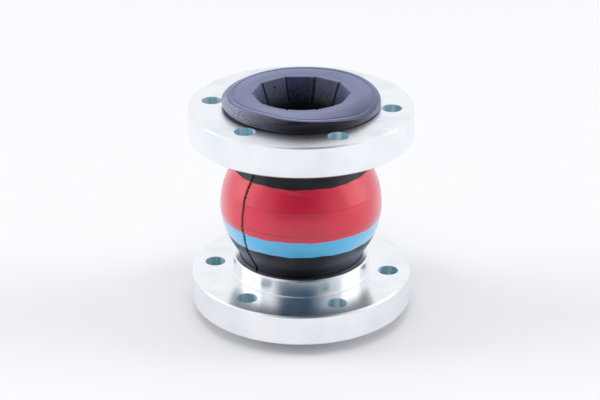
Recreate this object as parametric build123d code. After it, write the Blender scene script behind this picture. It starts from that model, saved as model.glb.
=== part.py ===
"""DN 40 rubber expansion joint: a single-arch bellows with two swivel flanges.

The bellows is a moulded wall in layers.  From the bore outwards they are the
rubber liner, two plies of cord, the rubber cover and two coloured bands that
are vulcanised into the cover.  At each end the plies turn up round a ring of
bead wire inside a rubber sealing collar.  The collar is wider than the bore
of the flange behind it, so the flange turns freely and can't come off.

The lower half is drawn, and the upper half is its mirror image.  The bore is
on Z, and Z = 0 is the face of the lower sealing collar.  All sizes are in mm.
"""
import os
from math import atan, cos, sin, sqrt, tan

from build123d import *

# ---- Driving dimensions ----------------------------------------------------
# Overall
NOMINAL_BORE = 40
OVERALL_LENGTH = 132

# Flanges
FLANGE_OD = 125
FLANGE_THICKNESS = 17.5
FLANGE_EDGE_BREAK = 0.8
BOLT_CIRCLE = 100
BOLT_HOLE = 11.5
BOLT_COUNT = 6
BOLT_PATTERN_TURN = -6.8
HUB_WALL = 3.85
HUB_HEIGHT = 9.8
HUB_EDGE_BREAK = 0.8
SEAT_DEPTH = 8

# Running clearance between a flange and the rubber that it turns on
SEAT_GAP = 0.25

# Sealing collars: the lap is how far a collar reaches out over its flange,
# and the wedge is how far its cone runs on beside the neck of the cover
COLLAR_HEIGHT = 7.5
COLLAR_LAP = 2
COLLAR_BEVEL_WIDTH = 4
COLLAR_BEVEL_HEIGHT = 3.2
COLLAR_WEDGE = 1.5

# Mouth of the collars, and the throat behind it
MOUTH_SIDES = 10
MOUTH_TURN = 1.0
MOUTH_FLARE = 4.75
MOUTH_END_STEP = 1
LINER_LEAD_IN = 4
THROAT_LENGTH = 8

# Arch of the bellows
ARCH_OD = 91.6
NECK_OD = 69.8
NECK_BLEND = 5
FLANK_LENGTH = 8.1

# Layers of the wall: the crowns of the hidden layers are straight, and the
# corner where the outermost one meets its flank stands out of the round by
# CROWN_CORNER
CROWN_CORNER = 0.63
COVER_THICKNESS = 2.6
PLY_THICKNESS = 1.1
LINER_THICKNESS = 3.2

# Coloured bands: the rise and the drop are measured from the nearer hub
BAND_THICKNESS = 1.0
BLUE_BAND_RISE = 16.4
BLUE_BAND_WIDTH = 9.9
RED_BAND_DROP = 7.5

# Bead cores, and the turn-ups of the plies round them
BEAD_CORE_OFFSET = 1.5
BEAD_CORE_WIDTH = 3
BEAD_CORE_HEIGHT = 3.4
BEAD_CORE_SETBACK = 0.3
BEAD_COVER = 0.15
TURN_UP_SHORTFALL = 0.8
PLY_FOLD = 2.2

# ---- Sizes worked out from them --------------------------------------------
MID_HEIGHT = OVERALL_LENGTH / 2
MID_PLANE = Plane.XY.offset(MID_HEIGHT)

# Depth below the outside at which each layer of the wall starts
PLY_START = COVER_THICKNESS
PLY_JOIN = PLY_START + PLY_THICKNESS
LINER_START = PLY_JOIN + PLY_THICKNESS
LINER_END = LINER_START + LINER_THICKNESS

# Heights of one end, from the face of the collar
FLANGE_FACE = COLLAR_HEIGHT
FLANGE_BACK = FLANGE_FACE + FLANGE_THICKNESS
HUB_END = FLANGE_BACK + HUB_HEIGHT
SEAT_END = FLANGE_FACE + SEAT_DEPTH
COLLAR_DEPTH = SEAT_END - COLLAR_WEDGE
CORE_TOP = COLLAR_HEIGHT - BEAD_CORE_SETBACK
CORE_START = CORE_TOP - BEAD_CORE_HEIGHT
TURN_UP_END = CORE_TOP - TURN_UP_SHORTFALL
LEAD_IN_END = COLLAR_DEPTH + LINER_LEAD_IN

# Radii, from the neck outwards and from the bore outwards
NECK_R = NECK_OD / 2
FLANGE_BORE_R = NECK_R + SEAT_GAP
HUB_R = FLANGE_BORE_R + HUB_WALL
CORE_IN_R = NECK_R + BEAD_CORE_OFFSET
CORE_OUT_R = CORE_IN_R + BEAD_CORE_WIDTH
SEAT_R = CORE_OUT_R + 2 * PLY_THICKNESS + BEAD_COVER + SEAT_GAP
COLLAR_R = SEAT_R + COLLAR_LAP
FLANGE_R = FLANGE_OD / 2
THROAT_R = NOMINAL_BORE / 2
MOUTH_END_R = THROAT_R + MOUTH_END_STEP
MOUTH_R = MOUTH_END_R + MOUTH_FLARE

# The neck blend starts level with the end of the hub.  The blend, a straight
# flank and the crown arc fill half of the arch, each tangent to the next, and
# that gives the slope of the flank, in radians, and the radius of the crown.
ARCH_R = ARCH_OD / 2
HALF_ARCH = MID_HEIGHT - HUB_END
FLANK_ANGLE = 2 * atan((ARCH_R - NECK_R) / (HALF_ARCH + FLANK_LENGTH))
CROWN_RADIUS = (HALF_ARCH - FLANK_LENGTH * cos(FLANK_ANGLE)) / sin(FLANK_ANGLE) - NECK_BLEND

# How far the straight crowns of the hidden layers lie inside the round one
PLY_ARC_R = CROWN_RADIUS - PLY_START
CORNER_REACH = sqrt((PLY_ARC_R + CROWN_CORNER) ** 2 - PLY_ARC_R**2)
CROWN_DROP = PLY_ARC_R * (1 - cos(FLANK_ANGLE)) - CORNER_REACH * sin(FLANK_ANGLE)

BLUE_BAND_START = HUB_END + BLUE_BAND_RISE
RED_BAND_START = BLUE_BAND_START + BLUE_BAND_WIDTH
RED_BAND_END = OVERALL_LENGTH - HUB_END - RED_BAND_DROP


def ring(points):
    """Turn a closed outline of (radius, height) points about the bore."""
    outline = Wire.make_polygon([(r, 0, z) for r, z in points], close=True)
    return revolve(Face(outline), Axis.Z)


def mirrored(half_outline):
    """Add the upper half to the lower half of an outline."""
    upper = [(r, OVERALL_LENGTH - z) for r, z in reversed(half_outline)]
    return half_outline + [p for p in upper if p[1] > MID_HEIGHT]


def layer(outside, inside):
    """A layer of the wall between two outlines."""
    return ring(outside + list(reversed(inside)))


def point_at(outline, height):
    """Return the point of an outline at a height."""
    for (r0, z0), (r1, z1) in zip(outline, outline[1:]):
        if z0 <= height <= z1:
            return (r0 + (r1 - r0) * (height - z0) / (z1 - z0), height)
    raise ValueError(f"no outline at height {height}")


def cut_between(outline, start, end):
    """Keep the stretch of an outline between two heights."""
    between = [p for p in outline if start < p[1] < end]
    return [point_at(outline, start)] + between + [point_at(outline, end)]


# ---- Outlines of the wall --------------------------------------------------
def outer_outline():
    """Outside of the wall: neck, blend, straight flank and rounded crown."""

    def blend(angle):
        return (NECK_R + NECK_BLEND * (1 - cos(angle)), HUB_END + NECK_BLEND * sin(angle))

    def crown(angle):
        return (ARCH_R - CROWN_RADIUS * (1 - cos(angle)), MID_HEIGHT - CROWN_RADIUS * sin(angle))

    neck = [(NECK_R, COLLAR_DEPTH), blend(0)]
    flank = [blend(FLANK_ANGLE), crown(FLANK_ANGLE)]
    return mirrored(neck + flank + [crown(FLANK_ANGLE / 2), crown(0)])


def hidden_half(depth):
    """Lower half of a hidden line of the wall, a depth below the outside.

    It keeps the neck, the flank and the crown as straight stretches, so that
    two neighbouring layers share one line and meet without a gap.
    """
    arc_r = CROWN_RADIUS - depth
    flank_r = ARCH_R - CROWN_RADIUS + arc_r * cos(FLANK_ANGLE)
    flank_z = MID_HEIGHT - arc_r * sin(FLANK_ANGLE)

    def on_flank(radius):
        return (radius, flank_z + (radius - flank_r) / tan(FLANK_ANGLE))

    neck_r = NECK_R - depth
    return [(neck_r, COLLAR_DEPTH), on_flank(neck_r), on_flank(ARCH_R - CROWN_DROP - depth)]


# ---- Bellows wall ----------------------------------------------------------
def band(start, end):
    """A coloured strip between two heights, flush with the cover."""
    outside = cut_between(outer_outline(), start, end)
    inside = [(r - BAND_THICKNESS, z) for r, z in outside]
    return layer(outside, inside)


def outer_cover():
    """Rubber cover, with a shallow channel that the two bands fill."""
    wall = layer(outer_outline(), mirrored(hidden_half(PLY_START)))
    return wall - band(BLUE_BAND_START, RED_BAND_END)


def turn_up(depth):
    """Line of a ply round the bead core, a depth away from the core.

    It comes down the outside of the core, passes below it and folds up at 45
    degrees into the neck of the bellows.  The fold of a line that lies deeper
    is wider, so that the ply is as thick there as elsewhere.
    """
    below_core = CORE_START - depth
    neck_r = NECK_R - PLY_START - depth
    fold = PLY_FOLD + depth * (2 - sqrt(2))
    return [
        (CORE_OUT_R + depth, TURN_UP_END),
        (CORE_OUT_R + depth, below_core),
        (neck_r + fold, below_core),
        (neck_r, below_core + fold),
    ]


def ply_line(depth):
    """Full line of a ply, from one turn-up to the other."""
    return mirrored(turn_up(depth - PLY_START) + hidden_half(depth)[1:])


def carcass_ply(outer_depth, inner_depth):
    """A ply of cord, from the outside of one bead core to the other."""
    return layer(ply_line(outer_depth), ply_line(inner_depth))


def inner_liner():
    """Liner: it runs from the mouth to the throat, and opens into the arch."""
    bore = [
        (MOUTH_END_R, COLLAR_DEPTH),
        (THROAT_R, LEAD_IN_END),
        (THROAT_R, LEAD_IN_END + THROAT_LENGTH),
        hidden_half(LINER_END)[-1],
    ]
    return layer(mirrored(hidden_half(LINER_START)), mirrored(bore))


# ---- Ends of the bellows ---------------------------------------------------
def mouth():
    """Flat-sided mouth, left by the sections of the moulding core."""
    turn = Rot(0, 0, MOUTH_TURN)
    face = turn * RegularPolygon(MOUTH_R, MOUTH_SIDES, major_radius=False)
    end = turn * RegularPolygon(MOUTH_END_R, MOUTH_SIDES, major_radius=False)
    return loft([face, Pos(0, 0, COLLAR_DEPTH) * end])


def lower_sealing_collar():
    """Rubber collar: its face seals, and its cone sits in the flange."""
    outline = [
        (0, 0),
        (COLLAR_R - COLLAR_BEVEL_WIDTH, 0),
        (COLLAR_R, COLLAR_BEVEL_HEIGHT),
        (COLLAR_R, FLANGE_FACE - SEAT_GAP),
        (SEAT_R - SEAT_GAP, FLANGE_FACE - SEAT_GAP),
        (NECK_R, SEAT_END),
        (NECK_R, COLLAR_DEPTH),
        (0, COLLAR_DEPTH),
    ]
    return ring(outline) - mouth()


def lower_bead_core():
    """Ring of bead wire, wound to a nearly square section."""
    outline = [
        (CORE_IN_R, CORE_START),
        (CORE_OUT_R, CORE_START),
        (CORE_OUT_R, CORE_TOP),
        (CORE_IN_R, CORE_TOP),
    ]
    return ring(outline)


# ---- Swivel flange ---------------------------------------------------------
def bolt_holes():
    """Plain holes through the plate, evenly spaced on the bolt circle."""
    base = (Align.CENTER, Align.CENTER, Align.MIN)
    hole = Pos(0, 0, FLANGE_FACE) * Cylinder(BOLT_HOLE / 2, FLANGE_THICKNESS, align=base)
    return PolarLocations(BOLT_CIRCLE / 2, BOLT_COUNT, BOLT_PATTERN_TURN) * hole


def lower_flange():
    """Steel plate with a hub, and a cone that takes the back of the collar."""
    outline = [
        (SEAT_R, FLANGE_FACE),
        (FLANGE_R - FLANGE_EDGE_BREAK, FLANGE_FACE),
        (FLANGE_R, FLANGE_FACE + FLANGE_EDGE_BREAK),
        (FLANGE_R, FLANGE_BACK - FLANGE_EDGE_BREAK),
        (FLANGE_R - FLANGE_EDGE_BREAK, FLANGE_BACK),
        (HUB_R, FLANGE_BACK),
        (HUB_R, HUB_END - HUB_EDGE_BREAK),
        (HUB_R - HUB_EDGE_BREAK, HUB_END),
        (FLANGE_BORE_R, HUB_END),
        (FLANGE_BORE_R, SEAT_END),
    ]
    return ring(outline) - bolt_holes()


def main():
    """Build every piece and write it to its own STEP file."""
    os.makedirs("parts", exist_ok=True)
    flange = lower_flange()
    core = lower_bead_core()
    inner_ply = carcass_ply(PLY_JOIN, LINER_START)
    outer_ply = carcass_ply(PLY_START, PLY_JOIN)
    collar = lower_sealing_collar() - core - inner_ply - outer_ply
    pieces = {
        "lower_sealing_collar": collar,
        "upper_sealing_collar": mirror(collar, about=MID_PLANE),
        "lower_bead_core": core,
        "upper_bead_core": mirror(core, about=MID_PLANE),
        "inner_liner": inner_liner(),
        "cord_ply_inner": inner_ply,
        "cord_ply_outer": outer_ply,
        "outer_cover": outer_cover(),
        "blue_band": band(BLUE_BAND_START, RED_BAND_START),
        "red_band": band(RED_BAND_START, RED_BAND_END),
        "lower_flange": flange,
        "upper_flange": mirror(flange, about=MID_PLANE),
    }
    for name, piece in pieces.items():
        export_step(piece, f"parts/{name}.step")
        print(name, round(piece.volume), piece.is_valid)
    print(f"flank {FLANK_ANGLE:.4f} rad, crown radius {CROWN_RADIUS:.2f}")


main()
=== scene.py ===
# %% [markdown]
# # A rubber expansion joint with two swivel flanges
# The joint is a short rubber tube with one bulge, the arch, between two
# steel flanges.  The steel pieces come from the imported model as they are.
# The rubber is made here as surfaces of revolution, because rubber is the
# piece that changes shape with the motion of the model.

import bpy
import numpy as np
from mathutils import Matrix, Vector


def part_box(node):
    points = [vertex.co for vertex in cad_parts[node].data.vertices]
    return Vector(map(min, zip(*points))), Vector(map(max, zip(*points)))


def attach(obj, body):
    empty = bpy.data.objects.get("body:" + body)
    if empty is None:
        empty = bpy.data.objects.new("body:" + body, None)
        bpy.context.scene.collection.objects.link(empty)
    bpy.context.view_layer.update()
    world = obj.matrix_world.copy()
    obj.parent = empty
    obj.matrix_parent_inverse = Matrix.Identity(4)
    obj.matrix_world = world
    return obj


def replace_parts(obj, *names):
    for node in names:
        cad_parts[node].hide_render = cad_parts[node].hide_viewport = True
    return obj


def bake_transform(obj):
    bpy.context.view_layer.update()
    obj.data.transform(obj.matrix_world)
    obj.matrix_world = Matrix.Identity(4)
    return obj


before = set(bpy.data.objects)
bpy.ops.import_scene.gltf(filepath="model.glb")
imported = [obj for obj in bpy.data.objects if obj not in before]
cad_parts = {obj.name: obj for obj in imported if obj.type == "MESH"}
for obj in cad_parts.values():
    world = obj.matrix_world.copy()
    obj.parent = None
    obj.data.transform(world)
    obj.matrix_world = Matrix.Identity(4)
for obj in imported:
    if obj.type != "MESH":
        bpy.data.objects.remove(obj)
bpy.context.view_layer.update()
print("CAD nodes:", sorted(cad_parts))

# %% [markdown]
# ## Sizes
# All shapes are worked out in millimetres, with the bore on Z, and turned to
# metres when a mesh is made.  The ends of the bellows and the height of the
# arch are read from the frame, so that the rubber fits the steel.

# %% Sizes of the joint, in mm
MM = 0.001


def extent(node):
    """Lowest and highest corner of a CAD node, in mm."""
    return [np.array(corner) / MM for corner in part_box(node)]


LENGTH = extent("upper_sealing_collar")[1][2]
MID = LENGTH / 2
ARCH_R = extent("red_band")[1][0]
COVER_START = extent("outer_cover")[0][2]
FLANGE_FACE = extent("lower_flange")[0][2]
HUB_END = extent("lower_flange")[1][2]
BLUE_START = extent("blue_band")[0][2]
RED_START = extent("red_band")[0][2]
RED_END = extent("red_band")[1][2]
COLLAR_R = extent("lower_sealing_collar")[1][1]

print("length", LENGTH, "arch", ARCH_R, "bands", BLUE_START, RED_START, RED_END)

# %% [markdown]
# ## Surfaces of revolution
# A lathe turns a section about the bore.  The section is a list of points
# (radius, height) and the grid is the section times a row of angles.  A
# function may push the points about, for a seam or a flat, before they go
# into the mesh.


# %% Lathe helper
def make_mesh(name, points, faces, mark=None, sharp_rows=()):
    """Put a grid of points and its quads into a new object."""
    mesh = bpy.data.meshes.new(name)
    mesh.from_pydata(points.reshape(-1, 3) * MM, [], faces.tolist())
    mesh.polygons.foreach_set("use_smooth", np.ones(len(faces), bool))
    if mark is not None:
        add_attribute(mesh, "mark", mark)
    mesh.update()
    if len(sharp_rows):
        sharpen(mesh, points.shape[1], sharp_rows)
    piece = bpy.data.objects.new(name, mesh)
    bpy.context.scene.collection.objects.link(piece)
    return piece


def add_attribute(mesh, name, values):
    """Keep one value for each point, for the materials to read."""
    layer = mesh.attributes.new(name, "FLOAT", "POINT")
    layer.data.foreach_set("value", values.astype(np.float32).ravel())


def sharpen(mesh, row_length, sharp_rows):
    """Mark the rings of edges at the corners of a section as sharp."""
    ends = np.zeros(len(mesh.edges) * 2, int)
    mesh.edges.foreach_get("vertices", ends)
    first, second = ends.reshape(-1, 2).T % row_length
    sharp = (first == second) & np.isin(first, sharp_rows)
    layer = mesh.attributes.new("sharp_edge", "BOOLEAN", "EDGE")
    layer.data.foreach_set("value", sharp)


def ring_faces(columns, rows):
    """Quads of a closed grid, which wraps round both ways."""
    i, j = np.meshgrid(np.arange(columns), np.arange(rows), indexing="ij")
    i2, j2 = (i + 1) % columns, (j + 1) % rows
    corners = [i * rows + j, i2 * rows + j, i2 * rows + j2, i * rows + j2]
    return np.stack(corners, -1).reshape(-1, 4)


def lathe(name, angles, radius, height, mark=None, sharp_rows=()):
    """Closed ring: x = r cos a, y = r sin a, z = h, on a grid (angle, section).

    The section runs up the outside and down the inside, so that the faces
    point out.
    """
    a = np.broadcast_to(angles.reshape(len(angles), -1), radius.shape)
    points = np.stack([radius * np.cos(a), radius * np.sin(a), height], -1)
    faces = ring_faces(*radius.shape)
    piece = make_mesh(name, points, faces, mark, sharp_rows)
    print(name, "quads", len(faces))
    return piece


# %% [markdown]
# ## Outline of the bellows
# The wall rises from a straight neck through a small blend to a straight
# flank, and over a rounded crown.  The outline is a formula of the height,
# so each layer can take its radius from it.  Blend, flank and crown touch one
# another and fill half of the arch, which settles the slope of the flank and
# the radius of the crown.

# %% Radius of the wall
NECK_R = 34.9
NECK_BLEND = 5
FLANK_LENGTH = 8.1
HALF_ARCH = MID - HUB_END
FLANK = 2 * np.arctan((ARCH_R - NECK_R) / (HALF_ARCH + FLANK_LENGTH))
CROWN_RADIUS = (HALF_ARCH - FLANK_LENGTH * np.cos(FLANK)) / np.sin(FLANK) - NECK_BLEND


def wall_radius(height):
    """Outside radius at a height: neck, blend arc, flank line, crown arc.

    h is the distance from the mid height.  The crown is a circle of
    CROWN_RADIUS, the flank is its tangent at FLANK, and the blend is a
    circle of NECK_BLEND that touches the flank and the neck.
    """
    h = np.abs(np.asarray(height, float) - MID)
    crown_h = CROWN_RADIUS * np.sin(FLANK)
    crown_r = ARCH_R - CROWN_RADIUS * (1 - np.cos(FLANK))
    blend_r = NECK_R + NECK_BLEND * (1 - np.cos(FLANK))
    flank_h = crown_h + (crown_r - blend_r) / np.tan(FLANK)
    neck_h = flank_h + NECK_BLEND * np.sin(FLANK)
    on_crown = ARCH_R - CROWN_RADIUS + np.sqrt(np.maximum(CROWN_RADIUS**2 - h**2, 0))
    on_flank = crown_r - (h - crown_h) * np.tan(FLANK)
    drop = np.clip(neck_h - h, 0, NECK_BLEND)
    on_blend = NECK_R + NECK_BLEND - np.sqrt(NECK_BLEND**2 - drop**2)
    stretches = [h <= crown_h, h <= flank_h, h < neck_h]
    return np.select(stretches, [on_crown, on_flank, on_blend], NECK_R)


places = [HUB_END, (HUB_END + MID) / 2, MID]
print("radius at the hub, the flank and the crown:", wall_radius(places).round(2))

# %% [markdown]
# ## Inside of the liner
# The bore narrows from the mouth to a round throat, and then follows the arch
# from within.  It is set out in straight stretches, as a draughtsman would.
# A mean over a short distance rounds the corners between them, and that
# distance shrinks to nothing at both ends, so that the ends stay in place.

# %% Radius of the bore
COVER_DEPTH = 2.6
PLY_DEPTH = 1.1
LINER_DEPTH = 3.2
THROAT_R = 20
THROAT_LENGTH = 8
LEAD_IN = 4
MOUTH_END_R = 21
CROWN_INSET = 2
BORE_ROUNDING = 2.0
BORE_FADE = 4
BORE_SAMPLES = 9


def bore_radius(height):
    """Inside of the liner: lead-in, throat, and the arch seen from within.

    The line has straight stretches.  Its corners are rounded by the mean of
    the line over a few millimetres.
    """
    depth = COVER_DEPTH + 2 * PLY_DEPTH + LINER_DEPTH
    arch_r = ARCH_R - CROWN_INSET - depth
    throat = COVER_START + LEAD_IN
    arc_r = CROWN_RADIUS - depth
    flank_r = ARCH_R - CROWN_RADIUS + arc_r * np.cos(FLANK)
    arch_h = arc_r * np.sin(FLANK) - (arch_r - flank_r) / np.tan(FLANK)
    line_h = [MID - COVER_START, MID - throat, MID - throat - THROAT_LENGTH, arch_h]
    line_r = [MOUTH_END_R, THROAT_R, THROAT_R, arch_r]
    h = np.abs(np.asarray(height, float) - MID)
    spread = BORE_ROUNDING * np.clip((MID - COVER_START - h) / BORE_FADE, 0, 1)
    shifts = np.linspace(-1, 1, BORE_SAMPLES)
    samples = [np.interp(h + shift * spread, line_h[::-1], line_r[::-1]) for shift in shifts]
    return np.mean(samples, axis=0)


places = [COVER_START, HUB_END, MID]
print("bore at the mouth, the throat and the crown:", bore_radius(places).round(2))

# %% [markdown]
# ## Zones at the bends
# In the motion model the rubber is three sprung joints: a bend at the lower
# flank, a stretch at the crown and a bend at the upper flank.  Each layer is
# cut at the same heights.  A zone at a neck follows one body.  A zone between
# the two bodies of one joint is only placed where it is made, and two zones
# share the ring where they meet.

# %% Zones and the way of making a layer in them
FLANK_ZONE = 18
ZONE_MARGIN = 1
LOWER_ZONE = HUB_END + ZONE_MARGIN
UPPER_ZONE = LENGTH - LOWER_ZONE
ZONES = {
    "lower_neck": (COVER_START, LOWER_ZONE, "lower_end", None),
    "lower_flank": (LOWER_ZONE, LOWER_ZONE + FLANK_ZONE, "lower_end", "lower_belt"),
    "crown": (LOWER_ZONE + FLANK_ZONE, UPPER_ZONE - FLANK_ZONE, "lower_belt", "upper_belt"),
    "upper_flank": (UPPER_ZONE - FLANK_ZONE, UPPER_ZONE, "upper_belt", "upper_end"),
    "upper_neck": (UPPER_ZONE, LENGTH - COVER_START, "upper_end", None),
}
for zone_name, zone in ZONES.items():
    print(zone_name, [round(value, 2) for value in zone[:2]], zone[2:])


def follow(piece, body, next_body):
    """Let a piece ride on one body; a piece between two bodies only gets its place applied to its
    mesh.
    """
    if next_body is None:
        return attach(piece, body)
    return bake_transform(piece)


def heights(start, end, step):
    """Evenly spaced heights from start to end, about a step apart."""
    return np.linspace(start, end, max(2, int(np.ceil((end - start) / step)) + 1))


# %% [markdown]
# ## The splice
# The cover and the bands are strips of raw rubber, wound on by hand before
# the joint is cured.  Their ends meet in a splice, a thin toothed gap that
# runs from neck to neck.  It is in the mesh, and the columns of the grid are
# packed close together there, so that the narrow gap has enough points
# across it.

# %% Path of the splice
SPLICE_ANGLE = np.radians(-135)
# Size in radians, length in mm and phase of each slow wave of the splice
SPLICE_WAVES = ((0.009, 7.1, 0), (0.005, 2.9, 1), (0.003, 1.3, 0))
TOOTH_PITCH = 1.7
TOOTH_SIZE = 0.75
TOOTH_PLACE = (-10, 8)
TOOTH_LEAST = 0.2
COLUMNS = 480
PACKING = 0.86


def packed_angles(count):
    """Angles u - p sin u from the splice, closest together where u is 0."""
    u = np.linspace(0, 2 * np.pi, count, endpoint=False)
    return SPLICE_ANGLE + u - PACKING * np.sin(u)


def splice_wander(height):
    """How far the splice strays from a straight line, in radians.

    Three slow waves and a triangle wave for the teeth of the pinked edge.
    The teeth gape below the crown and are pressed nearly flat elsewhere.
    """
    slow = sum(size * np.sin(height / length + phase) for size, length, phase in SPLICE_WAVES)
    tooth = np.abs((height / TOOTH_PITCH) % 1 - 0.5) * 4 - 1
    middle, spread = TOOTH_PLACE
    near = np.exp(-(((height - MID - middle) / spread) ** 2))
    return slow + TOOTH_SIZE / ARCH_R * tooth * (TOOTH_LEAST + (1 - TOOTH_LEAST) * near)


def wrapped(angle):
    """The angle as a value from -pi to pi."""
    return (angle + np.pi) % (2 * np.pi) - np.pi


spacing = np.diff(packed_angles(COLUMNS)) * ARCH_R
print("columns of the crown are", spacing.min().round(2), "to", spacing.max().round(2), "mm apart")

# %% [markdown]
# ## The skin
# Each turn of the wrapping leaves a faint step round the crown, and the soft
# strips swell a little and ripple along their edges.  A few sine waves give
# that unevenness, and a wave of whole counts round the joint closes on itself.

# %% Marks on the skin
SPLICE_WIDTH = 1.7
SPLICE_DEPTH = 0.9
SPLICE_LAP = 0.22
LAP_LENGTH = 5
SPLICE_REACH = 0.1
# Each line of the wrapping: its place above the middle, on a scale where the
# red band is WRAP_SCALE high, and the size in mm of its wave
WRAP_LINES = ((0.55, 0.0), (-0.05, 0.6), (-0.12, 0.6))
WRAP_SCALE = 1.35
WRAP_SHIFT = 1.7
WRAP_DEPTH = 0.14
WRAP_FALL = 1.5
WRAP_WIDTH = 0.28
# Mean and swing of the darkness of a line, its count and its shift by line
WRAP_SHADE = (0.45, 0.3, 3, 2)
# Size in mm, count round the joint and length in mm of each wave
SWELLS = ((0.12, 2, 19), (0.07, 5, -8))
EDGE_RIPPLES = ((0.16, 9, 1), (0.12, 23, np.inf))
EDGE_REACH = 2.2
SKIN_SUNK = 0.2


def waves(table, a, z):
    """Sum of size * sin(count a + z / length) over a table of waves."""
    return sum(size * np.sin(count * a + z / length) for size, count, length in table)


def skin(angles, radius, height, share):
    """Push the outer skin about: splice, lap and wrapping marks.

    share is 1 on the skin and 0 inside the wall.  It returns the angles, the
    radius, the height and how dark the mark is at each point; in the splice
    gap the dark is painted shade.
    """
    a = angles[:, None]
    z = height[None, :]
    off = wrapped(a - SPLICE_ANGLE)
    a = a + splice_wander(z) * np.exp(-((off / SPLICE_REACH) ** 2)) * share
    across = off * radius[None, :]
    gap = np.exp(-((across / (SPLICE_WIDTH / 2)) ** 4))
    lap = np.exp(-np.clip(across, 0, None) / LAP_LENGTH) * (across > 0)
    # The splice gap is painted dark: painted shade in the gap
    dark = gap.copy()
    depth = SPLICE_DEPTH * gap - SPLICE_LAP * lap * (1 - gap)
    mean, swing, count, shift = WRAP_SHADE
    for number, (place, wave) in enumerate(WRAP_LINES):
        line = MID + place * (RED_END - RED_START) / WRAP_SCALE
        line = line + wave * np.sin(a + WRAP_SHIFT * number)
        away = z - line
        depth = depth - WRAP_DEPTH * np.exp(-np.abs(away) / WRAP_FALL) * (away > 0)
        shade = mean + swing * np.sin(count * a + shift * number)
        dark = np.maximum(dark, shade * np.exp(-((away / WRAP_WIDTH) ** 2)))
    edges = (RED_START, BLUE_START, RED_END)
    edge = sum(np.exp(-(((z - place) / EDGE_REACH) ** 2)) for place in edges)
    radius = radius[None, :] - share * (depth + SKIN_SUNK) + share * waves(SWELLS, a, z)
    return a, radius, z + waves(EDGE_RIPPLES, a, z) * edge * share, dark * share


print("splice", SPLICE_WIDTH, "mm wide and", SPLICE_DEPTH, "mm deep")

# %% [markdown]
# ## One stretch of a layer
# A stretch is a closed ring with an outside and an inside, like a slice of
# pipe.  Only the skin needs rows of points close together, for its marks.

# %% Make a stretch
# Distance between the rows of points
SKIN_ROW = 0.35
HIDDEN_ROW = 1.0
INNER_ROW = 1.5


def layer(name, outside, inside, start, end, on_skin):
    """A closed ring of one layer between two heights.

    outside and inside give the radius at a height.  The four corners of the
    section are sharp, and the skin's marks fade out inside the wall.
    """
    up = heights(start, end, SKIN_ROW if on_skin else HIDDEN_ROW)
    down = heights(start, end, INNER_ROW)[::-1]
    radius = np.concatenate([outside(up), inside(down)])
    height = np.concatenate([up, down])
    share = np.concatenate([np.ones(len(up)), np.zeros(len(down))])
    corners = [0, len(up) - 1, len(up), len(height) - 1]
    angles = packed_angles(COLUMNS)
    if on_skin:
        angles, radius, height, dark = skin(angles, radius, height, share[None, :])
    else:
        dark = np.zeros((COLUMNS, len(height)))
        radius = np.broadcast_to(radius, dark.shape)
    height = np.broadcast_to(height, dark.shape)
    return lathe(name, angles, radius, height, dark, corners)


print("rows on the skin of a flank:", len(heights(*ZONES["lower_flank"][:2], SKIN_ROW)))

# %% [markdown]
# ## The layers of the wall
# From the outside the wall is a rubber cover with the two bands let into it,
# two plies of rubbered cord, and the liner.  Each layer is made once for each
# zone.  The bands have a shallow channel in the cover, so that they lie flush.

# %% Build the layers, zone by zone
BAND_DEPTH = 1.0


def below_skin(depth):
    """A function that gives the radius a depth below the outside."""
    return lambda height: wall_radius(height) - depth


SOFT_LAYERS = ("outer_cover", "cord_ply_outer", "cord_ply_inner", "inner_liner")
JOIN_DEPTH = COVER_DEPTH + PLY_DEPTH
cover_floor, channel_floor = below_skin(COVER_DEPTH), below_skin(BAND_DEPTH)
ply_join, liner_top = below_skin(JOIN_DEPTH), below_skin(JOIN_DEPTH + PLY_DEPTH)
WHOLE = (0, LENGTH)
# Node, end of the name, outside, inside, heights, and if it is on the skin
STRETCHES = (
    ("outer_cover", "_low", wall_radius, cover_floor, (0, BLUE_START), True),
    ("outer_cover", "_channel", channel_floor, cover_floor, (BLUE_START, RED_END), False),
    ("outer_cover", "_high", wall_radius, cover_floor, (RED_END, LENGTH), True),
    ("blue_band", "", wall_radius, channel_floor, (BLUE_START, RED_START), True),
    ("red_band", "", wall_radius, channel_floor, (RED_START, RED_END), True),
    ("cord_ply_outer", "", cover_floor, ply_join, WHOLE, False),
    ("cord_ply_inner", "", ply_join, liner_top, WHOLE, False),
    ("inner_liner", "", liner_top, bore_radius, WHOLE, False),
)
LEAST_HEIGHT = 0.01
rubber = {name: [] for name in SOFT_LAYERS + ("red_band", "blue_band")}


def add_stretch(zone_name, node, ending, outside, inside, span, on_skin):
    """Make one stretch of a layer, if it lies in the zone, and let it follow."""
    start, end, body, next_body = ZONES[zone_name]
    low, high = max(start, span[0]), min(end, span[1])
    if high - low < LEAST_HEIGHT:
        return
    piece = layer(f"{node}_{zone_name}{ending}", outside, inside, low, high, on_skin)
    follow(piece, body, next_body)
    rubber[node].append(piece)


for zone_name in ZONES:
    for stretch in STRETCHES:
        add_stretch(zone_name, *stretch)
for node, pieces in rubber.items():
    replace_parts(pieces[0], node)
    print(node, "is", len(pieces), "pieces")

# %% [markdown]
# ## Sealing collars
# Each end of the bellows rolls out into a thick soft collar, which is the
# gasket of the joint.  Its mouth has ten flats, left by the segments of the
# core that it was moulded on, with a thin flash groove between each two.
# The collar isn't held to a shape, so its edge droops on one side and rolls
# over on the other.

# %% Shape of the mouth
FRONT = np.radians(-90)
FLATS = 10
FLAT_TURN = np.radians(1)
MOUTH_R = 25.75
CORNER_POWER = (24, 14)
FACE_DISH = 0.9
GROOVE_WIDTH = 0.9
GROOVE_DEPTH = 1.2
LEDGE_FLAT = 2
LEDGE_WIDTH = 2.6
LEDGE_HEIGHT = 0.45
NUB_FLATS = (2, 3)
NUB_DEPTH = 4.4
NUB_RADIUS = 0.6
NUB_HEIGHT = 0.5


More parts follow.
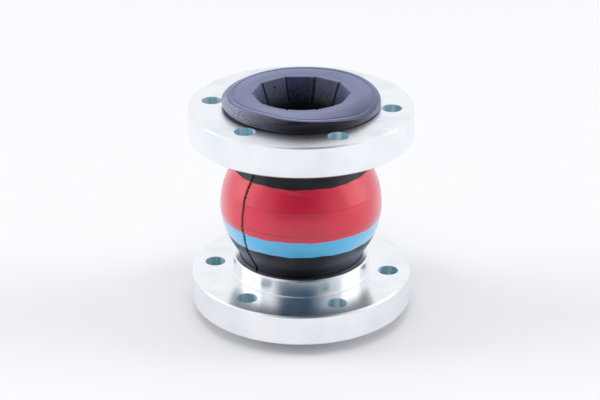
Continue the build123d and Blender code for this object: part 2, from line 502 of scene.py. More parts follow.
def mouth(angle, depth):
    """Radius of the flat-sided mouth at a depth below the face, and the painted shade in its
    grooves.

    A flat at a distance d from the axis lies at d / cos w, where w is the
    angle from the middle of the flat.  The cosines of three neighbouring
    flats go into a power mean, which rounds the corners between them, most of
    all on the side that droops.  A groove of Gaussian section runs down each
    corner, two flats bear a small nub, and one has a raised ledge.
    """
    side = 2 * np.pi / FLATS
    w = (angle - FLAT_TURN) % side - side / 2
    share = (depth - FACE_DISH) / (COVER_START - FACE_DISH)
    flat_r = MOUTH_R + (MOUTH_END_R - MOUTH_R) * share
    power = CORNER_POWER[0] - CORNER_POWER[1] * np.cos(angle - FRONT)
    cosines = sum(np.maximum(np.cos(w + k * side), 0) ** power for k in (-1, 0, 1))
    radius = flat_r / cosines ** (1 / power)
    from_corner = (side / 2 - np.abs(w)) * radius
    groove = np.exp(-((from_corner / (GROOVE_WIDTH / 2)) ** 2))
    along = (depth - NUB_DEPTH) ** 2 + (w * radius) ** 2
    number = np.round(((angle - FLAT_TURN) % (2 * np.pi) - side / 2) / side)
    nub = np.exp(-along / NUB_RADIUS**2) * np.isin(number, NUB_FLATS)
    ledge = (number == LEDGE_FLAT) * (w * radius < LEDGE_WIDTH - MOUTH_R * np.tan(side / 2))
    return radius + GROOVE_DEPTH * groove - NUB_HEIGHT * nub - LEDGE_HEIGHT * ledge, groove


flat, corner = (mouth(FLAT_TURN + share * np.pi / FLATS, 5.0)[0] for share in (1, 2))
print("mouth 5 mm down:", flat.round(2), "at a flat and", corner.round(2), "at a corner")

# %% [markdown]
# ## The drooping edge
# The edge of the face has no formula of its own, since it droops as it was
# left to lie.  Its radius, its depth and the gap under the lip are given
# every 15 degrees, and a spline through the values makes them smooth.

# %% Edge and face
FACE_FLAT_R = 29
BEAD_WIDTH = 3.2
# Distance from the edge, half width and depth of the two lines beside it
EDGE_GROOVE = (BEAD_WIDTH, 0.5, 0.22)
EDGE_BEAD = (0.45 * BEAD_WIDTH, 0.9, -0.14)
# Every 15 degrees from the front: radius and depth of the edge of the face,
# and how far the lip lifts off the flange
EDGE_RADII = (
    [43.3, 43.8, 43.9, 43.9, 43.6, 43.2, 43.0, 42.9, 42.8, 42.7, 42.5, 42.3]
    + [42.2, 42.1, 41.8, 41.5, 41.2, 41.0, 41.0, 40.9, 40.5, 39.9, 39.4, 41.6]
)
EDGE_DEPTHS = (
    [0.5, 1.1, 2.2, 3.7, 4.3, 3.6, 2.6, 2.0, 1.3, 0.8, 0.6, 0.7]
    + [0.9, 1.0, 1.3, 1.6, 1.8, 2.3, 2.8, 2.3, 1.4, 0.7, 0.4, 0.3]
)
LIP_LIFTS = [0.0] * 14 + [0.1, 0.4, 0.9, 1.3, 1.55, 1.4, 1.0, 0.6, 0.2, 0.0]


def around(phi, values):
    """Closed Catmull-Rom spline through values evenly spaced from the front.

    Between p1 and p2 it is half of 2 p1 + (p2 - p0) t
    + (2 p0 - 5 p1 + 4 p2 - p3) t^2 + (3 p1 - p0 - 3 p2 + p3) t^3.
    """
    values = np.asarray(values, float)
    place = (phi / (2 * np.pi) * len(values)) % len(values)
    first = np.floor(place).astype(int)
    t = place - first
    p0, p1, p2, p3 = (values[(first + k) % len(values)] for k in (-1, 0, 1, 2))
    square = (2 * p0 - 5 * p1 + 4 * p2 - p3) * t**2
    cube = (3 * p1 - p0 - 3 * p2 + p3) * t**3
    return 0.5 * (2 * p1 + (p2 - p0) * t + square + cube)


def face_depth(radius, edge_r, edge_d):
    """Depth of the face: a parabola that falls to the edge, on a shallow dish.

    A shallow groove runs beside the edge, with a low bead outside it.  Both
    have a Gaussian section.
    """
    inwards = np.clip((edge_r - radius) / (edge_r - FACE_FLAT_R), 0, 1)
    depth = edge_d * (1 - inwards) ** 2 + FACE_DISH * inwards
    for place, half_width, line_depth in (EDGE_GROOVE, EDGE_BEAD):
        depth = depth + line_depth * np.exp(-(((edge_r - radius - place) / half_width) ** 2))
    return depth


print("edge of the face: radius", min(EDGE_RADII), "to", max(EDGE_RADII))

# %% [markdown]
# ## The section of the collar
# The section changes with the angle, so the radius and the depth below the
# face are both functions of two parameters.  The pieces of the section are
# worked out one after another and put side by side in one grid.

# %% Section of a collar
RIM_ROUND = 0.6
LIP_ROUND = 0.9
SEAT_R = 42
SEAT_GAP = 0.25
SEAT_END = extent("lower_sealing_collar")[1][2]
# The side is fullest at this share of its height, and the middle point of
# its curve is this far out and down from the edge of the face
BELLY = 0.5
SIDE_PULL = (0.9, 0.35)
# Rows of points down the side, over the border of the face, and elsewhere
SIDE_ROWS = np.append(np.linspace(0, 0.97, 16), [0.99, 1.0])[1:]
BORDER_ROWS = np.append([0.08, 0.2], np.linspace(0.4, 1.6 * BEAD_WIDTH, 16))
LIP_ROWS, FACE_ROWS, RIM_ROWS, WALL_ROWS = 9, 16, 5, 34
# Painted sheen on the sides, a lighter grey where they catch the light: place and spread in
# degrees from the front, and amount
PAINTED_SIDE_SHEENS = ((-75, 38, 1.0), (72, 20, 0.6))
SIDE_SHEEN_START = 4
# How the lighter finish thins down the mouth: painted shade deeper in the mouth
MOUTH_SHADE_FALL = 1.5


def collar_section(angles, turn):
    """Radius, depth, painted groove shade, bloom with painted sheen, and painted side sheen over
    (angle, section).

    The section runs from the neck up the seat, round the lip, along a
    quadratic Bezier curve to the edge, over the face and down the mouth.
    The bloom is the chance that a facet gets the lighter finish, a waxy bloom
    and a painted sheen of the light on the face: it is 1 on the face, and it
    falls down the mouth, which paints the mouth darker with depth as painted
    shade.  The painted sheen of the side fades out round it.
    """
    a = angles[:, None]
    phi = a - FRONT - turn
    edge_r, edge_d = around(phi, EDGE_RADII), around(phi, EDGE_DEPTHS)
    rim_r = mouth(a, FACE_DISH)[0] + RIM_ROUND
    ones = np.ones_like(a)
    lip_d = FLANGE_FACE - SEAT_GAP - around(phi, LIP_LIFTS)
    neck = [NECK_R * ones, NECK_R * ones, (SEAT_R - SEAT_GAP) * ones]
    neck_d = [COVER_START * ones, SEAT_END * ones, lip_d]

    q = np.linspace(0, np.pi / 2, LIP_ROWS)[None, :]
    belly_d = edge_d + BELLY * (lip_d - edge_d)
    lip_r = COLLAR_R - LIP_ROUND + LIP_ROUND * np.sin(q) * ones
    lip_depth = belly_d + (lip_d - belly_d) * np.cos(q) ** 0.5

    t = SIDE_ROWS[None, :]
    pull_r = edge_r + SIDE_PULL[0] * (COLLAR_R - edge_r)
    pull_d = edge_d + SIDE_PULL[1] * (belly_d - edge_d)
    side_r = (1 - t) ** 2 * COLLAR_R + 2 * t * (1 - t) * pull_r + t**2 * edge_r
    side_d = (1 - t) ** 2 * belly_d + 2 * t * (1 - t) * pull_d + t**2 * edge_d

    border_r = edge_r - BORDER_ROWS[None, :]
    s = np.linspace(0, 1, FACE_ROWS)[None, 1:]
    inner_r = border_r[:, -1:] + (rim_r - border_r[:, -1:]) * s
    face_r = np.hstack([border_r, inner_r])
    face_d = face_depth(face_r, edge_r, edge_d)

    rim_q = np.linspace(0, np.pi / 2, RIM_ROWS)[None, 1:]
    round_d = FACE_DISH + RIM_ROUND * (1 - np.cos(rim_q)) * ones
    round_r = mouth(a, round_d)[0] + RIM_ROUND * (1 - np.sin(rim_q))

    wall_d = np.linspace(FACE_DISH + RIM_ROUND, COVER_START, WALL_ROWS)[None, 1:] * ones
    wall_r, wall_dark = mouth(a, wall_d)

    radius = np.hstack(neck + [lip_r, side_r, face_r, round_r, wall_r])
    depth = np.hstack(neck_d + [lip_depth, side_d, face_d, round_d, wall_d])
    face_start = len(neck) + lip_r.shape[1] + side_r.shape[1]
    mouth_start = face_start + face_r.shape[1]
    dark, bloom_and_sheen, painted_side_sheen = (np.zeros_like(radius) for _ in range(3))
    # Painted shade down the grooves of the mouth
    dark[:, -wall_dark.shape[1]:] = wall_dark
    # The lighter finish on the face: bloom, and a painted sheen of the light
    bloom_and_sheen[:, face_start - 2:mouth_start] = 1
    # Fewer lighter facets deeper in the mouth: painted shade
    bloom_and_sheen[:, mouth_start:] = 1 - (depth[:, mouth_start:] / COVER_START) ** MOUTH_SHADE_FALL
    # Painted sheen on the sides of the collar, where they catch the light
    for place, spread, amount in PAINTED_SIDE_SHEENS:
        off = wrapped(phi - np.radians(place)) / np.radians(spread)
        painted_side_sheen[:, len(neck) + SIDE_SHEEN_START:face_start] += amount * np.exp(-(off**2))
    return radius, depth, dark, bloom_and_sheen, painted_side_sheen


print("points in the section of a collar:", collar_section(np.zeros(1), 0.0)[0].size)

# %% [markdown]
# ## The two collars
# The lower collar is the same shape mirrored, and turned so that it droops on
# another side.  A random draw leaves some facets plain black, without the
# lighter finish of bloom and painted sheen, and more of them deeper in the
# mouth, as painted shade there.

# %% Make the two collars
COLLAR_COLUMNS = 720
LOWER_TURN = np.radians(120)
FINISH_DRAW_SEED = 7
plain_black_facets = []


def collar(name, body, upper, turn):
    """A collar, right way up or mirrored to stand on its face.

    The facets that a random draw leaves plain black, without the lighter finish, are kept for the
    materials.
    """
    angles = np.linspace(0, 2 * np.pi, COLLAR_COLUMNS, endpoint=False)
    radius, depth, dark, bloom_and_sheen, painted_side_sheen = collar_section(angles, turn)
    if upper:
        height = LENGTH - depth
    else:
        grids = (radius, depth, dark, bloom_and_sheen, painted_side_sheen)
        radius, height, dark, bloom_and_sheen, painted_side_sheen = (grid[:, ::-1] for grid in grids)
    corners = [0, 1, 2, radius.shape[1] - 1]
    if not upper:
        corners = [radius.shape[1] - 1 - number for number in corners]
    piece = lathe(name, angles, radius, height, dark, corners)
    # The painted side sheen goes to the materials as an attribute
    add_attribute(piece.data, "side_sheen", painted_side_sheen)
    chance = np.random.default_rng(FINISH_DRAW_SEED).random(bloom_and_sheen.shape)
    plain_black_facets.append((bloom_and_sheen < chance).astype(np.int32).ravel())
    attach(piece, body)
    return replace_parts(piece, name)


collars = [
    collar("upper_sealing_collar", "upper_end", True, 0.0),
    collar("lower_sealing_collar", "lower_end", False, LOWER_TURN),
]
print("share of clean facets:", [round(float(plain_black.mean()), 2) for plain_black in plain_black_facets])

# %% [markdown]
# ## Materials
# The joint needs zinc plating on turned steel, moulded rubber in black and in
# two colours, rubbered cord, and the brassed wire of the bead cores.  Colours
# are written as the hex values that a screen shows, and one function turns
# them to the linear values that the renderer adds up.


# %% Colours
def linear(hex_colour):
    """sRGB hex to linear: c / 12.92 near black, ((c + 0.055) / 1.055) ** 2.4 above."""
    code = hex_colour.lstrip("#")
    srgb = np.array([int(code[i:i + 2], 16) for i in (0, 2, 4)]) / 255
    value = np.where(srgb <= 0.04045, srgb / 12.92, ((srgb + 0.055) / 1.055) ** 2.4)
    return (*value.tolist(), 1.0)


print("middle grey, #808080, is", round(linear("#808080")[0], 3), "in linear light")

# %% [markdown]
# ## Nodes
# A finish is a small network of nodes.  These helpers add the nodes that
# every finish uses, and give back the socket with the result, so a network
# reads like a formula.


# %% Node helpers
def add_node(tree, kind, inputs=None, **settings):
    """Add a node, set its properties, and give or link its inputs."""
    node = tree.nodes.new(kind)
    for key, value in settings.items():
        setattr(node, key, value)
    for key, value in (inputs or {}).items():
        if isinstance(value, bpy.types.NodeSocket):
            tree.links.new(value, node.inputs[key])
        else:
            node.inputs[key].default_value = value
    return node


def calculate(tree, operation, *values):
    """One step of arithmetic on numbers or sockets."""
    inputs = dict(enumerate(values))
    return add_node(tree, "ShaderNodeMath", inputs, operation=operation).outputs[0]


def remap(tree, value, source=(0, 1), target=(0, 1), kind="LINEAR"):
    """Map one range of values to another, and hold both ends."""
    names = ("From Min", "From Max", "To Min", "To Max")
    inputs = {"Value": value, **dict(zip(names, (*source, *target)))}
    return add_node(tree, "ShaderNodeMapRange", inputs, interpolation_type=kind).outputs[0]


def mix_colours(tree, share, first, second):
    """The first colour where share is 0, and the second where it is 1."""
    ends = [linear(end) if isinstance(end, str) else end for end in (first, second)]
    inputs = {0: share, 6: ends[0], 7: ends[1]}
    return add_node(tree, "ShaderNodeMix", inputs, data_type="RGBA").outputs[2]


def noise(tree, place, size, detail):
    """Noise with features of about a size in mm."""
    inputs = {"Vector": place, "Scale": 1 / (size * MM), "Detail": detail}
    return add_node(tree, "ShaderNodeTexNoise", inputs).outputs[0]


def bump(tree, height, strength, distance):
    """Normals of a relief whose full height is a distance in mm."""
    inputs = {"Height": height, "Strength": strength, "Distance": distance * MM}
    return add_node(tree, "ShaderNodeBump", inputs).outputs[0]


def new_material(name, **surface):
    """A material with one Principled shader, and its node tree and shader."""
    material = bpy.data.materials.new(name)
    material.use_nodes = True
    tree = material.node_tree
    shader = tree.nodes["Principled BSDF"]
    for key, value in surface.items():
        shader.inputs[key.replace("_", " ")].default_value = value
    return material, tree, shader


def connect(tree, shader, **sockets):
    """Link the results of nodes to the inputs of a shader."""
    for key, socket in sockets.items():
        tree.links.new(socket, shader.inputs[key.replace("_", " ")])


def dress(pieces, material):
    """Give every piece one material."""
    for piece in pieces:
        piece.data.materials.clear()
        piece.data.materials.append(material)


# %% [markdown]
# ## Walls of the bolt holes
# The bolt holes of the flanges are drilled.  Their walls stay duller and a
# little bluer than the plated steel, with upright pale streaks painted on,
# which are painted reflections of the bright room in the drilled walls.  The
# nodes find the walls from the place of a point on the steel.

# %% Find the walls and their streaks
BOLT_CIRCLE = 100
BOLT_HOLE = 11.5
BOLT_COUNT = 6
BOLT_TURN = -6.8
WALL_MARGIN = 0.03
# Size and range of the painted reflection streaks on the walls
REFLECTION_STREAK_SIZE = 3.6
REFLECTION_STREAK_RANGE = (0.38, 0.62)


def bolt_hole_walls(tree, parts, radius):
    """Two sockets: 1 on the walls of the bolt holes, and the streaks on them.

    Two sockets: 1 on the walls of the bolt holes, and the painted reflection streaks on them.
    that all holes fall on one.  A point is on a wall where its distance from
    the axis of that hole is the radius of the hole.
    """
    half_share = np.pi / BOLT_COUNT
    angle = calculate(tree, "ARCTAN2", parts[1], parts[0])
    angle = calculate(tree, "SUBTRACT", angle, np.radians(BOLT_TURN))
    angle = calculate(tree, "WRAP", angle, half_share, -half_share)
    cosine, sine = calculate(tree, "COSINE", angle), calculate(tree, "SINE", angle)
    along = calculate(tree, "MULTIPLY_ADD", cosine, radius, -BOLT_CIRCLE / 2 * MM)
    across = calculate(tree, "MULTIPLY", sine, radius)
    offset = add_node(tree, "ShaderNodeCombineXYZ", {0: along, 1: across}).outputs[0]
    away = add_node(tree, "ShaderNodeVectorMath", {0: offset}, operation="LENGTH").outputs["Value"]
    wall = calculate(tree, "LESS_THAN", away, (BOLT_HOLE / 2 + WALL_MARGIN) * MM)
    painted_reflections = noise(tree, offset, REFLECTION_STREAK_SIZE, detail=1.0)
    return wall, remap(tree, painted_reflections, REFLECTION_STREAK_RANGE)


print(BOLT_COUNT, "holes of", BOLT_HOLE, "mm on a circle of", BOLT_CIRCLE, "mm")

# %% [markdown]
# ## Zinc-plated steel
# The flanges are turned on a lathe and then plated with bright zinc, passed
# in a clear bath that leaves a faint blue.  The eye sees a soft mirror with
# very fine rings from the tool, and pale cloudy stains from the bath.  The
# rings are a noise that is read along the radius and the height only, and
# they blur a reflection more across the rings than along them.

# %% Zinc plating
ZINC_COLOUR = "#F6F8FA"
ZINC_STAIN = "#E8EFF3"
ZINC_ROUGHNESS = (0.2, 0.26)
RING_BLUR = 0.85
RING_BLUR_TURN = 0.25
TURNED_PITCH = 0.5
TURNED_DEPTH = 0.01
TURNED_STRENGTH = 0.06
STAIN_SIZE = 16
STAIN_RANGE = (0.45, 0.75)
# Colour of the drilled walls, and the pale colour of their painted reflections
HOLE_COLOURS = ("#A6D4E2", "#FAFEFF")
HOLE_METAL = 0.42
HOLE_ROUGHNESS = 0.25


def zinc_plating():
    """Turned steel under bright zinc, with pale stains and drilled holes."""
    material, tree, shader = new_material(
        "zinc_plated_steel", Anisotropic=RING_BLUR, Anisotropic_Rotation=RING_BLUR_TURN
    )
    tangent = add_node(tree, "ShaderNodeTangent", direction_type="RADIAL", axis="Z").outputs[0]
    place = add_node(tree, "ShaderNodeTexCoord").outputs["Object"]
    parts = add_node(tree, "ShaderNodeSeparateXYZ", {0: place}).outputs
    flat = add_node(tree, "ShaderNodeCombineXYZ", {0: parts[0], 1: parts[1]}).outputs[0]
    radius = add_node(tree, "ShaderNodeVectorMath", {0: flat}, operation="LENGTH").outputs["Value"]
    rings_at = add_node(tree, "ShaderNodeCombineXYZ", {0: radius, 2: parts[2]}).outputs[0]
    rings = noise(tree, rings_at, TURNED_PITCH, detail=3.0)
    stains = noise(tree, place, STAIN_SIZE, detail=5.0)
    plated = mix_colours(tree, remap(tree, stains, STAIN_RANGE), ZINC_COLOUR, ZINC_STAIN)
    plated_rough = remap(tree, stains, target=ZINC_ROUGHNESS)
    hole, wall_reflection = bolt_hole_walls(tree, parts, radius)
    drilled = mix_colours(tree, wall_reflection, *HOLE_COLOURS)
    inputs = {0: hole, 2: plated_rough, 3: HOLE_ROUGHNESS}
    rough = add_node(tree, "ShaderNodeMix", inputs).outputs[0]
    connect(
        tree,
        shader,
        Tangent=tangent,
        Metallic=remap(tree, hole, target=(1.0, HOLE_METAL)),
        Base_Color=mix_colours(tree, hole, plated, drilled),
        Roughness=rough,
        Normal=bump(tree, rings, TURNED_STRENGTH, TURNED_DEPTH),
    )
    return material


zinc = zinc_plating()
dress([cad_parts["upper_flange"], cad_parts["lower_flange"]], zinc)
print("zinc plating on two flanges")

# %% [markdown]
# ## Root of the hubs
# The tool leaves a small hollow corner where the hub meets the plate.  It is
# a thin ring with a quarter circle for its outside, so it catches the light
# as a fine line round the foot of each hub.

# %% Hollow corner at the foot of each hub
HUB_WALL = 3.85
HUB_R = NECK_R + SEAT_GAP + HUB_WALL
HUB_HEIGHT = 9.8
HUB_COLUMNS = 240
CORNER_ROWS = 9
CORNER = 0.9
CORNER_SUNK = 0.3


def hub_corner(name, body, upper):
    """A ring whose outside is a quarter circle about (HUB_R + c, plate + c)."""
    back = HUB_END - HUB_HEIGHT
    q = np.linspace(0, np.pi / 2, CORNER_ROWS)
    inner_r, outer_r, bottom = HUB_R - CORNER_SUNK, HUB_R + CORNER, back - CORNER_SUNK
    radius = np.append(HUB_R + CORNER * (1 - np.sin(q)), [inner_r, inner_r, outer_r])
    height = np.append(back + CORNER * (1 - np.cos(q)), [back + CORNER, bottom, bottom])
    corners = [0, *range(len(q) - 1, len(radius))]
    if upper:
        radius, height = radius[::-1], LENGTH - height[::-1]
        corners = [len(radius) - 1 - number for number in corners]
    angles = np.linspace(0, 2 * np.pi, HUB_COLUMNS, endpoint=False)
    shape = (HUB_COLUMNS, len(radius))
    radius, height = np.broadcast_to(radius, shape), np.broadcast_to(height, shape)
    piece = lathe(name, angles, radius, height, sharp_rows=corners)
    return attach(piece, body)


hub_corners = [
    hub_corner("upper_hub_corner", "upper_swivel", True),
    hub_corner("lower_hub_corner", "lower_swivel", False),
]
dress(hub_corners, zinc)
print("hollow corners of", CORNER, "mm at the foot of hubs of radius", round(HUB_R, 2))

# %% [markdown]
# ## Rubber
# Cured rubber is a dielectric with an index of about 1.45 at its skin.  Fresh
# from the mould it has a satin skin, and a little wax comes up to the
# surface, which gives black rubber a soft grey bloom.  A sheen stands for the
# bloom, since it is strongest where the skin is seen from the side.  The
# strips are the same rubber with pigment, and were pressed smooth, so they
# have a thin gloss coat too.  The `mark` attribute of the mesh is 1 in a gap
# or a groove, where the rubber is painted darker as painted shade, and a
# second attribute is 1 on the sides of the collars, which get a painted
# sheen: a lighter grey that stands for the light they catch.

# %% Rubber finishes
RUBBER_IOR = 1.45
GRAIN_SIZE = 0.5
GRAIN_DEPTH = 0.05
CLOUD_SIZE = 9
ROUGHNESS_SWING = (-0.08, 0.1)
COAT_IOR = 1.7
COAT_ROUGHNESS = 0.24
# Colour of the painted shade in gaps and grooves
GAP_COLOUR = "#040406"
# Lighter grey of the painted sheen on the sides of the collars
SIDE_SHEEN_COLOUR = "#B0B4D0"
SIDE_SHEEN_RANGE = (0.3, 0.65)
BLOOM_COLOUR = "#BEC6F4"
SKIN_COLOUR = "#F4F0F6"


def rubber_finish(name, shades, roughness, bloom_and_sheen, spread, tint=BLOOM_COLOUR, grain=0.3, coat=0.0):
    """Moulded rubber: cloudy shade, fine grain, painted shade in the gaps, a
    painted sheen on the sides of the collars, and a waxy bloom.

    The arguments for the weight of the bloom and sheen, spread and tint give
    the weight, roughness and colour of the sheen, and coat is the weight of the gloss.
    """
    material, tree, shader = new_material(
        name,
        IOR=RUBBER_IOR,
        Sheen_Weight=bloom_and_sheen,
        Sheen_Roughness=spread,
        Sheen_Tint=linear(tint),
        Coat_Weight=coat,
        Coat_Roughness=COAT_ROUGHNESS,
        Coat_IOR=COAT_IOR,
    )
    place = add_node(tree, "ShaderNodeTexCoord").outputs["Object"]
    clouds = noise(tree, place, CLOUD_SIZE, detail=4.0)
    fine = noise(tree, place, GRAIN_SIZE, detail=2.0)
    side_sheen, gap = (
        add_node(tree, "ShaderNodeAttribute", attribute_name=attribute).outputs["Fac"]
        for attribute in ("side_sheen", "mark")
    )
    # Painted sheen on the sides, and painted shade in the gaps and grooves
    painted_side_sheen = calculate(tree, "MULTIPLY", side_sheen, remap(tree, fine, SIDE_SHEEN_RANGE))
    shade = mix_colours(tree, clouds, *shades)
    shade = mix_colours(tree, painted_side_sheen, shade, SIDE_SHEEN_COLOUR)
    rough_range = [roughness + swing for swing in ROUGHNESS_SWING]
    connect(
        tree,
        shader,
        Base_Color=mix_colours(tree, gap, shade, GAP_COLOUR),
        Roughness=remap(tree, clouds, target=rough_range),
        Normal=bump(tree, fine, grain, GRAIN_DEPTH),
    )
    return material


# %% [markdown]
# The cover and the liner are plain black, and the liner is a shade darker,
# as painted shade inside the bore.  The collars are the same black with a
# lighter bluish finish on all but the plain facets: a bloom, and a painted
# sheen of the light on the face.  The two strips share most of their
# settings, since they were pressed in the same mould.

# %% Rubber on the pieces
BLACK_RUBBER = ("#040408", "#0A0A10")
# Lighter bluish black of the collar faces: bloom, and a painted sheen of the light
BLOOM_AND_SHEEN_RUBBER = ("#0E1226", "#464C6C")
# A shade darker than the cover: painted shade inside the bore
BORE_SHADE_RUBBER = ("#030306", "#06060A")
RED_RUBBER = ("#C4002A", "#DA103C")
BLUE_RUBBER = ("#04A0D4", "#24B6E4")

black = rubber_finish("moulded_black_rubber", BLACK_RUBBER, 0.34, bloom_and_sheen=0.6, spread=0.3)
bloom_and_sheen_black = rubber_finish("bloom_and_painted_sheen_rubber", BLOOM_AND_SHEEN_RUBBER, 0.42, bloom_and_sheen=1.0, spread=0.44)
bore_shaded_black = rubber_finish("liner_rubber", BORE_SHADE_RUBBER, 0.5, bloom_and_sheen=0.05, spread=0.5)
strip = {"roughness": 0.32, "bloom_and_sheen": 1.0, "tint": SKIN_COLOUR, "grain": 0.2}
red = rubber_finish("red_rubber_strip", RED_RUBBER, spread=0.4, coat=0.35, **strip)
blue = rubber_finish("blue_rubber_strip", BLUE_RUBBER, spread=0.46, coat=0.7, **strip)
dress(rubber["outer_cover"], black)
dress(collars, bloom_and_sheen_black)
# Plain black on the facets the draw leaves without the painted sheen
for piece, plain_black in zip(collars, plain_black_facets):
    piece.data.materials.append(black)
    piece.data.polygons.foreach_set("material_index", plain_black)
dress(rubber["inner_liner"], bore_shaded_black)
dress(rubber["red_band"], red)
dress(rubber["blue_band"], blue)
print("rubber on", sum(len(pieces) for pieces in rubber.values()) + len(collars), "pieces")

# %% [markdown]
# ## Inside the wall
# The cord and the bead wire can't be seen, but they are part of the joint
# and get their own finish: tan rubbered cord, laid at an angle, and steel
# wire with a thin coat of brass, which helps rubber to stick.

# %% Cord and bead wire
CORD_COLOURS = ("#8C7A55", "#6E5E40")
CORD_ROUGHNESS = 0.7
CORD_PITCH = 1.0
CORD_DEPTH = 0.2
CORD_STRENGTH = 0.4
BRASS_COLOUR = "#B9A06A"
BRASS_ROUGHNESS = 0.35


def rubbered_cord():
    """Parallel cords under a thin skin of rubber."""
    material, tree, shader = new_material("rubbered_cord", Roughness=CORD_ROUGHNESS)
    place = add_node(tree, "ShaderNodeTexCoord").outputs["Object"]
    inputs = {"Vector": place, "Scale": 0.5 / (CORD_PITCH * MM), "Distortion": 0.5}
    cords = add_node(tree, "ShaderNodeTexWave", inputs, bands_direction="DIAGONAL").outputs["Fac"]
    colour = mix_colours(tree, cords, *CORD_COLOURS)
    relief = bump(tree, cords, CORD_STRENGTH, CORD_DEPTH)
    connect(tree, shader, Base_Color=colour, Normal=relief)
    return material


brass = new_material(
    "brassed_wire", Metallic=1.0, Roughness=BRASS_ROUGHNESS, Base_Color=linear(BRASS_COLOUR)
)[0]
plies = rubber["cord_ply_outer"] + rubber["cord_ply_inner"]
dress(plies, rubbered_cord())
dress([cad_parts["upper_bead_core"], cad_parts["lower_bead_core"]], brass)
print("cord on", len(plies), "pieces and brass on two bead cores")

# %% [markdown]
# ## Names for the finishes
# A table lists the pieces under the kind of finish they carry, and the
# script prints how many pieces each kind has.

# %% Slots
slots = {
    "black_rubber": rubber["outer_cover"] + collars,
    "liner_rubber": rubber["inner_liner"],
    "red_rubber": rubber["red_band"],
    "blue_rubber": rubber["blue_band"],
    "cord_fabric": plies,
}
for slot_name, slot_pieces in slots.items():
    print(slot_name, "on", len(slot_pieces), "pieces")

# %% [markdown]
# ## Floor
# The joint stands on pale paper.  Far away the paper fades into the
# background, so that no view shows where it ends.

# %% Floor
BACKGROUND = "#F8F8FC"
FLOOR_SIZE = 12.0
FLOOR_COLOUR = "#F4F4F5"
FLOOR_ROUGHNESS = 0.9
FLOOR_SPECULAR = 0.1
FLOOR_FADE = (0.75, 1.9)


def studio_floor():
    """Matt paper that fades into the background colour far from the joint.

    The faded part is seen by the camera and by mirrors, and still takes light
    and shadow as paper does.
    """
    bpy.ops.mesh.primitive_plane_add(size=FLOOR_SIZE)
    floor = bpy.context.object
    floor.name = "floor"
    material, tree, shader = new_material(
        "floor_paper",
        Base_Color=linear(FLOOR_COLOUR),
        Roughness=FLOOR_ROUGHNESS,
        Specular_IOR_Level=FLOOR_SPECULAR,
    )
    place = add_node(tree, "ShaderNodeTexCoord").outputs["Object"]
    away = add_node(tree, "ShaderNodeVectorMath", {0: place}, operation="LENGTH").outputs["Value"]
    path = add_node(tree, "ShaderNodeLightPath").outputs
    rays = path["Is Camera Ray"]
    for kind in ("Is Glossy Ray", "Is Transmission Ray"):
        rays = calculate(tree, "ADD", rays, path[kind])
    share = calculate(tree, "MULTIPLY", remap(tree, away, FLOOR_FADE, kind="SMOOTHSTEP"), rays)
    seen = add_node(tree, "ShaderNodeEmission", {0: linear(BACKGROUND), 1: 1.0}).outputs[0]
    mix = add_node(tree, "ShaderNodeMixShader", {0: share, 1: shader.outputs[0], 2: seen})
    connect(tree, tree.nodes["Material Output"], Surface=mix.outputs[0])
    dress([floor], material)


studio_floor()
print("floor", FLOOR_SIZE, "m wide, faded from", FLOOR_FADE[0], "to", FLOOR_FADE[1], "m away")

# %% [markdown]
# ## World
# The world is a white tent, so that the plating has something bright to
# mirror.  It is open on the side of the camera, and this dark opening is what
# draws the dark shapes on the plating.

# %% World
STUDIO_COLOUR = "#FAFBFE"
AMBIENT_COLOUR = "#ECF2FD"
DARK_COLOUR = "#123E5C"
DARK_TOWARDS = (0.27, -0.92, 0.3)
DARK_EDGE = (0.42, 0.72)
DARK_FADE = (1.0, 0.15)
DIFFUSE_DARK = 0.6
WORLD_LEVEL = 0.77
STUDIO_LEVEL = 0.99


def studio_world():
    """White tent, open and dark on the side of the camera.

    The dark side is a cap of the sky about DARK_TOWARDS: the share of darkness
    rises with the cosine of the angle between the two directions, and fades
    out towards +X.  It is weaker for diffuse light, which also comes from the
    room behind the opening, and which is a little bluer than what a mirror
    shows.  A camera ray sees an even pale background.
    """
    world = bpy.data.worlds.new("studio")
    world.use_nodes = True
    bpy.context.scene.world = world
    tree = world.node_tree
    direction = add_node(tree, "ShaderNodeTexCoord").outputs["Generated"]
    path = add_node(tree, "ShaderNodeLightPath").outputs
    glossy = path["Is Glossy Ray"]
    inputs = {0: direction, 1: Vector(DARK_TOWARDS).normalized()}
    dot = add_node(tree, "ShaderNodeVectorMath", inputs, operation="DOT_PRODUCT")
    sideways = add_node(tree, "ShaderNodeSeparateXYZ", {0: direction}).outputs[0]
    darkness = calculate(
        tree,
        "MULTIPLY",
        remap(tree, dot.outputs["Value"], DARK_EDGE, kind="SMOOTHSTEP"),
        remap(tree, sideways, DARK_FADE, kind="SMOOTHSTEP"),
    )
    strength = remap(tree, glossy, target=(DIFFUSE_DARK, 1.0))
    darkness = calculate(tree, "MULTIPLY", darkness, strength)
    bright = mix_colours(tree, glossy, AMBIENT_COLOUR, STUDIO_COLOUR)
    light = tree.nodes["Background"]
    connect(
        tree,
        light,
        Color=mix_colours(tree, darkness, bright, DARK_COLOUR),
        Strength=remap(tree, glossy, target=(WORLD_LEVEL, STUDIO_LEVEL)),
    )
    seen = add_node(tree, "ShaderNodeBackground", {0: linear(BACKGROUND), 1: 1.0}).outputs[0]
    inputs = {0: path["Is Camera Ray"], 1: light.outputs[0], 2: seen}
    mix = add_node(tree, "ShaderNodeMixShader", inputs)
    connect(tree, tree.nodes["World Output"], Surface=mix.outputs[0])


studio_world()
print("world at a level of", WORLD_LEVEL, "for light and", STUDIO_LEVEL, "for mirrors")

# %% [markdown]
# ## Lamps
# The lamps are soft squares overhead and at both sides.  They light the joint
# without showing in the plating, where they would burn out.  Two weak cards
# at the sides do the opposite: they show in shiny surfaces as soft bright
# bands, and add no light.

# %% Lamps
LAMP_COLOUR = "#FFF9F0"
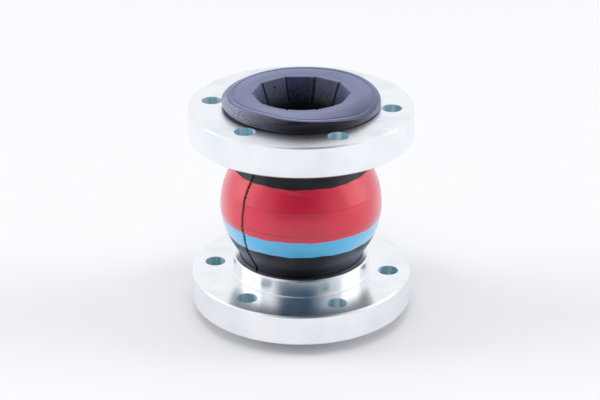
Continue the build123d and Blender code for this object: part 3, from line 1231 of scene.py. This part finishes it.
# Place and size in metres, power in watts, adds light, shows in mirrors
LAMPS = {
    "overhead": ((0.0, -1.6, 4.5), 3.0, 64.0, True, False),
    "left": ((-4.0, 0.3, 1.0), 2.2, 112.0, True, False),
    "right": ((4.2, 0.3, 1.0), 2.2, 116.0, True, False),
    "left_card": ((-4.0, 0.1, 0.9), 3.0, 30.0, False, True),
    "right_card": ((4.2, 0.1, 0.9), 3.0, 31.0, False, True),
}


def lamp(name, place, size, power, lights, mirrored):
    """A square soft lamp that faces the middle of the joint.

    lights says if it adds diffuse light, and mirrored if it shows in the
    shiny surfaces.
    """
    light = bpy.data.lights.new(name, "AREA")
    light.size = size
    light.energy = power
    light.color = linear(LAMP_COLOUR)[:3]
    holder = bpy.data.objects.new(name, light)
    holder.location = place
    holder.visible_diffuse = lights
    holder.visible_glossy = mirrored
    towards = Vector((0, 0, MID * MM)) - Vector(place)
    holder.rotation_euler = towards.to_track_quat("-Z", "Y").to_euler()
    bpy.context.scene.collection.objects.link(holder)
    print(name, power, "W")


for lamp_name, settings in LAMPS.items():
    lamp(lamp_name, *settings)

# %% [markdown]
# ## Camera
# A long lens from about a metre away, a little above the joint, keeps the
# two flanges nearly the same size and shows the mouth of the upper collar.

# %% Camera
CAMERA_ELEVATION = np.radians(24.51)
CAMERA_DISTANCE = 0.970
CAMERA_LENS = 102.9
SENSOR_WIDTH = 36
PICTURE_WIDTH = 600
AXIS_OFFSET = 1.2
AIM_ABOVE_MID = 0.5
AIM_HEIGHT = (MID + AIM_ABOVE_MID) * MM

camera_data = bpy.data.cameras.new("camera")
camera_data.lens = CAMERA_LENS
camera_data.sensor_width = SENSOR_WIDTH
camera_data.shift_x = -AXIS_OFFSET / PICTURE_WIDTH
camera = bpy.data.objects.new("camera", camera_data)
back = Vector((0, -np.cos(CAMERA_ELEVATION), np.sin(CAMERA_ELEVATION)))
camera.location = Vector((0, 0, AIM_HEIGHT)) + back * CAMERA_DISTANCE
camera.rotation_euler = (-back).to_track_quat("-Z", "Y").to_euler()
bpy.context.scene.collection.objects.link(camera)
bpy.context.scene.camera = camera
bpy.context.scene.view_settings.view_transform = "Standard"
print("camera", CAMERA_DISTANCE, "m away with a lens of", CAMERA_LENS, "mm")
